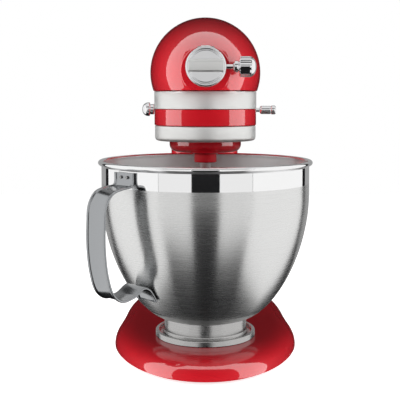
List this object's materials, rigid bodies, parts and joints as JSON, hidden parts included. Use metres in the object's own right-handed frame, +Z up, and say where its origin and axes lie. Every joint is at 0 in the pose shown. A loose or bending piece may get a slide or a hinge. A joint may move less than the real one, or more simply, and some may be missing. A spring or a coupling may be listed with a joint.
{
  "type": "stand mixer",
  "caption": "Tilt-head stand mixer with a rounded motor head, planetary drive, flat beater, steel bowl with a strap handle, and an attachment hub in its nose.",
  "frame": {"origin": "on the floor under the middle of the bounding box, on the head's plane of symmetry", "axes": "+Z up; -Y towards the front, where the attachment hub is; +X to the right as seen from the front"},
  "size_m": [0.2243, 0.358, 0.3517],
  "materials": {
    "red_enamel": "gloss enamel on die-cast alloy",
    "satin_trim": "satin",
    "chrome": "polished",
    "bowl_steel": "fine circular brushing, polished band under the rim",
    "gear_steel": "machined",
    "bearing_bronze": "machined",
    "lamination_steel": "matt",
    "copper": "wound copper",
    "black_plastic": "moulded",
    "rubber": "matt",
    "beater_aluminium": "burnished casting"
  },
  "bodies": {
    "stand": {"base": "red_enamel", "foot_front": "rubber", "foot_left": "rubber", "foot_right": "rubber", "foot_rear_left": "rubber", "foot_rear_right": "rubber", "clamp_plate": "satin_trim", "pedestal": "red_enamel", "hinge_pin": "gear_steel", "height_screw": "gear_steel"},
    "head": {"upper_housing": "red_enamel", "gear_case": "red_enamel", "trim_band": "satin_trim", "drip_ring": "satin_trim", "rear_cover": "red_enamel", "rear_cover_screw": "chrome", "hub_socket": "satin_trim", "hub_cover_pin": "gear_steel", "internal_ring_gear": "gear_steel", "shaft_bushing": "bearing_bronze", "worm_gear_bearing": "bearing_bronze", "motor_stator": "lamination_steel", "motor_bracket": "lamination_steel", "rear_bracket": "lamination_steel", "front_bearing": "bearing_bronze", "rear_bearing": "bearing_bronze", "brush_cap_left": "black_plastic", "brush_cap_right": "black_plastic", "cord_inlet": "rubber"},
    "lock": {"lock_shaft": "gear_steel", "lock_knob": "chrome", "lock_cam": "gear_steel"},
    "speed_control": {"speed_slider": "black_plastic", "speed_lever": "chrome", "speed_knob": "chrome"},
    "hub_flap": {"hub_cover": "satin_trim"},
    "thumb_screw": {"attachment_screw": "chrome", "attachment_knob": "chrome"},
    "planetary": {"center_shaft": "gear_steel", "center_gear": "gear_steel", "center_bevel": "gear_steel", "planetary_disc": "red_enamel"},
    "agitator": {"agitator_shaft": "chrome", "planet_pinion": "gear_steel", "agitator_pin": "gear_steel", "flat_beater": "beater_aluminium"},
    "worm_gear": {"worm_wheel": "bearing_bronze", "worm_gear_shaft": "gear_steel", "drive_pinion": "gear_steel"},
    "armature": {"armature_shaft": "gear_steel", "armature_core": "copper", "commutator": "copper", "cooling_fan": "black_plastic"},
    "hub_drive": {"hub_bevel": "gear_steel", "hub_drive_shaft": "gear_steel"},
    "bowl_seat": {"bowl_foot": "chrome"},
    "bowl_shell": {"bowl": "bowl_steel", "bowl_handle": "bowl_steel"}
  },
  "joints": [
    {"name": "head_tilt", "type": "hinge", "parent": "stand", "child": "head", "pos_m": [0, 0.1045, 0.218], "axis": [-1, 0, 0], "range_deg": [0, 47]},
    {"name": "lock_turn", "type": "hinge", "parent": "head", "child": "lock", "pos_m": [0, 0.0625, 0.255], "axis": [-1, 0, 0], "range_deg": [0, 90]},
    {"name": "speed_slide", "type": "slide", "parent": "head", "child": "speed_control", "axis": [0, 1, 0], "range_m": [0, 0.036]},
    {"name": "hub_flap_hinge", "type": "hinge", "parent": "head", "child": "hub_flap", "pos_m": [0, -0.1585, 0.3163], "axis": [-1, 0, 0], "range_deg": [0, 125]},
    {"name": "thumb_screw_turn", "type": "hinge", "parent": "head", "child": "thumb_screw", "pos_m": [0, -0.1543, 0.298], "axis": [1, 0, 0], "range_deg": [0, 360]},
    {"name": "planetary_spin", "type": "hinge", "parent": "head", "child": "planetary", "pos_m": [0, -0.0675, 0.2145], "axis": [0, 0, 1], "continuous": true},
    {"name": "agitator_spin", "type": "hinge", "parent": "planetary", "child": "agitator", "pos_m": [0, -0.0955, 0.2145], "axis": [0, 0, 1], "continuous": true},
    {"name": "worm_gear_spin", "type": "hinge", "parent": "head", "child": "worm_gear", "pos_m": [0.02, -0.04, 0.3], "axis": [0, 0, 1], "continuous": true},
    {"name": "armature_spin", "type": "hinge", "parent": "head", "child": "armature", "pos_m": [0, -0.0675, 0.3], "axis": [0, 1, 0], "continuous": true},
    {"name": "hub_drive_spin", "type": "hinge", "parent": "head", "child": "hub_drive", "pos_m": [0, -0.0675, 0.298], "axis": [0, -1, 0], "continuous": true},
    {"name": "bowl_lift", "type": "slide", "parent": "stand", "child": "bowl_seat", "axis": [0, 0, 1], "range_m": [0, 0.006]},
    {"name": "bowl_twist", "type": "hinge", "parent": "bowl_seat", "child": "bowl_shell", "pos_m": [0, -0.0675, 0.042], "axis": [0, 0, 1], "range_deg": [0, 20]}
  ],
  "couplings": [
    {"joint": "agitator_spin", "follows": "planetary_spin", "ratio": -3},
    {"joint": "worm_gear_spin", "follows": "planetary_spin", "ratio": -3.25},
    {"joint": "armature_spin", "follows": "planetary_spin", "ratio": -104},
    {"joint": "hub_drive_spin", "follows": "planetary_spin", "ratio": 1}
  ]
}
